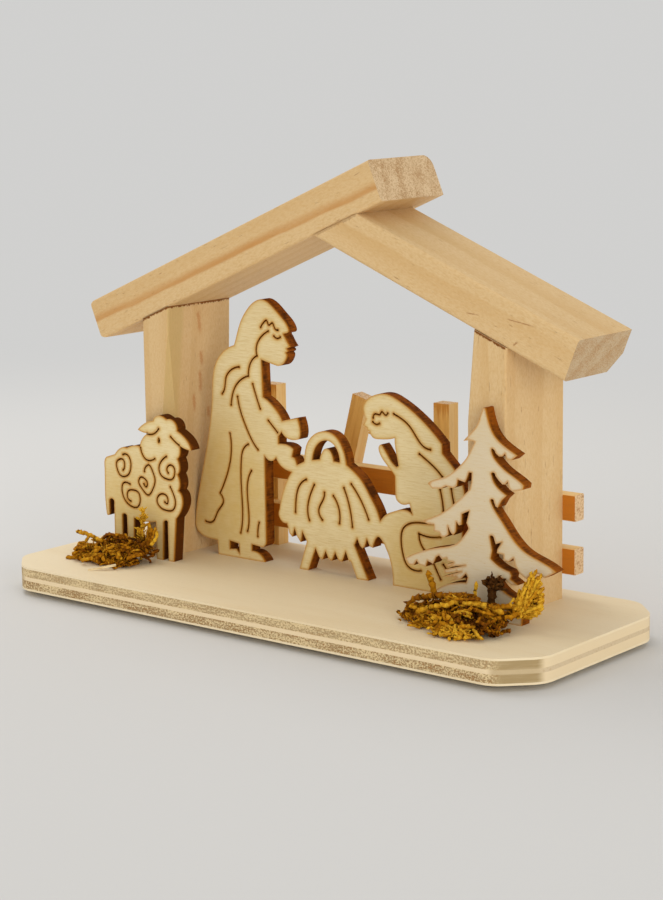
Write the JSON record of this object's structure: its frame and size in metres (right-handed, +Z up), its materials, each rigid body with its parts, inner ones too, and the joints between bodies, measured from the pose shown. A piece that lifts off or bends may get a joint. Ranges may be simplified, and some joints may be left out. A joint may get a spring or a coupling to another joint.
{
  "type": "nativity stable",
  "caption": "Small wooden nativity stable: laser-cut figures, a sheep and a fir tree beneath sloping roof beams on a plywood base with a rail fence and dried moss.",
  "frame": {"origin": "middle of the base board's underside", "axes": "+X along the base to the right as seen from the front, +Y from the front towards the fence, +Z up"},
  "size_m": [0.16, 0.06, 0.1078],
  "materials": {
    "base_veneer": "bare plywood face, matt",
    "base_crossband": "sawn plywood edge, open end grain",
    "base_core": "sawn plywood edge, long grain",
    "pine": "planed bare pine, matt",
    "fence_pine": "planed bare pine, matt",
    "cut_plywood": "bare plywood with laser-charred edges",
    "moss": "dried moss, matt",
    "moss_sprig": "dried moss, matt",
    "dark_sprig": "dried moss, matt",
    "straw": "dry straw, satin"
  },
  "bodies": {
    "root": {"base_bottom_veneer": "base_veneer", "base_lower_crossband": "base_crossband", "base_core_ply": "base_core", "base_upper_crossband": "base_crossband", "base_top_veneer": "base_veneer", "left_post": "pine", "right_post": "pine", "left_roof_beam": "pine", "right_roof_beam": "pine", "fence_lower_rail": "fence_pine", "fence_upper_rail": "fence_pine", "fence_picket_left": "fence_pine", "fence_picket_middle": "fence_pine", "fence_picket_right": "fence_pine", "family_plate": "cut_plywood", "sheep_plate": "cut_plywood", "fir_tree_plate": "cut_plywood", "moss_clump_left": "moss", "moss_clump_right": "moss", "moss_sprig_left": "moss_sprig", "moss_sprig_right": "dark_sprig", "moss_tuft_right": "moss_sprig", "straw_sliver": "straw"}
  },
  "joints": []
}
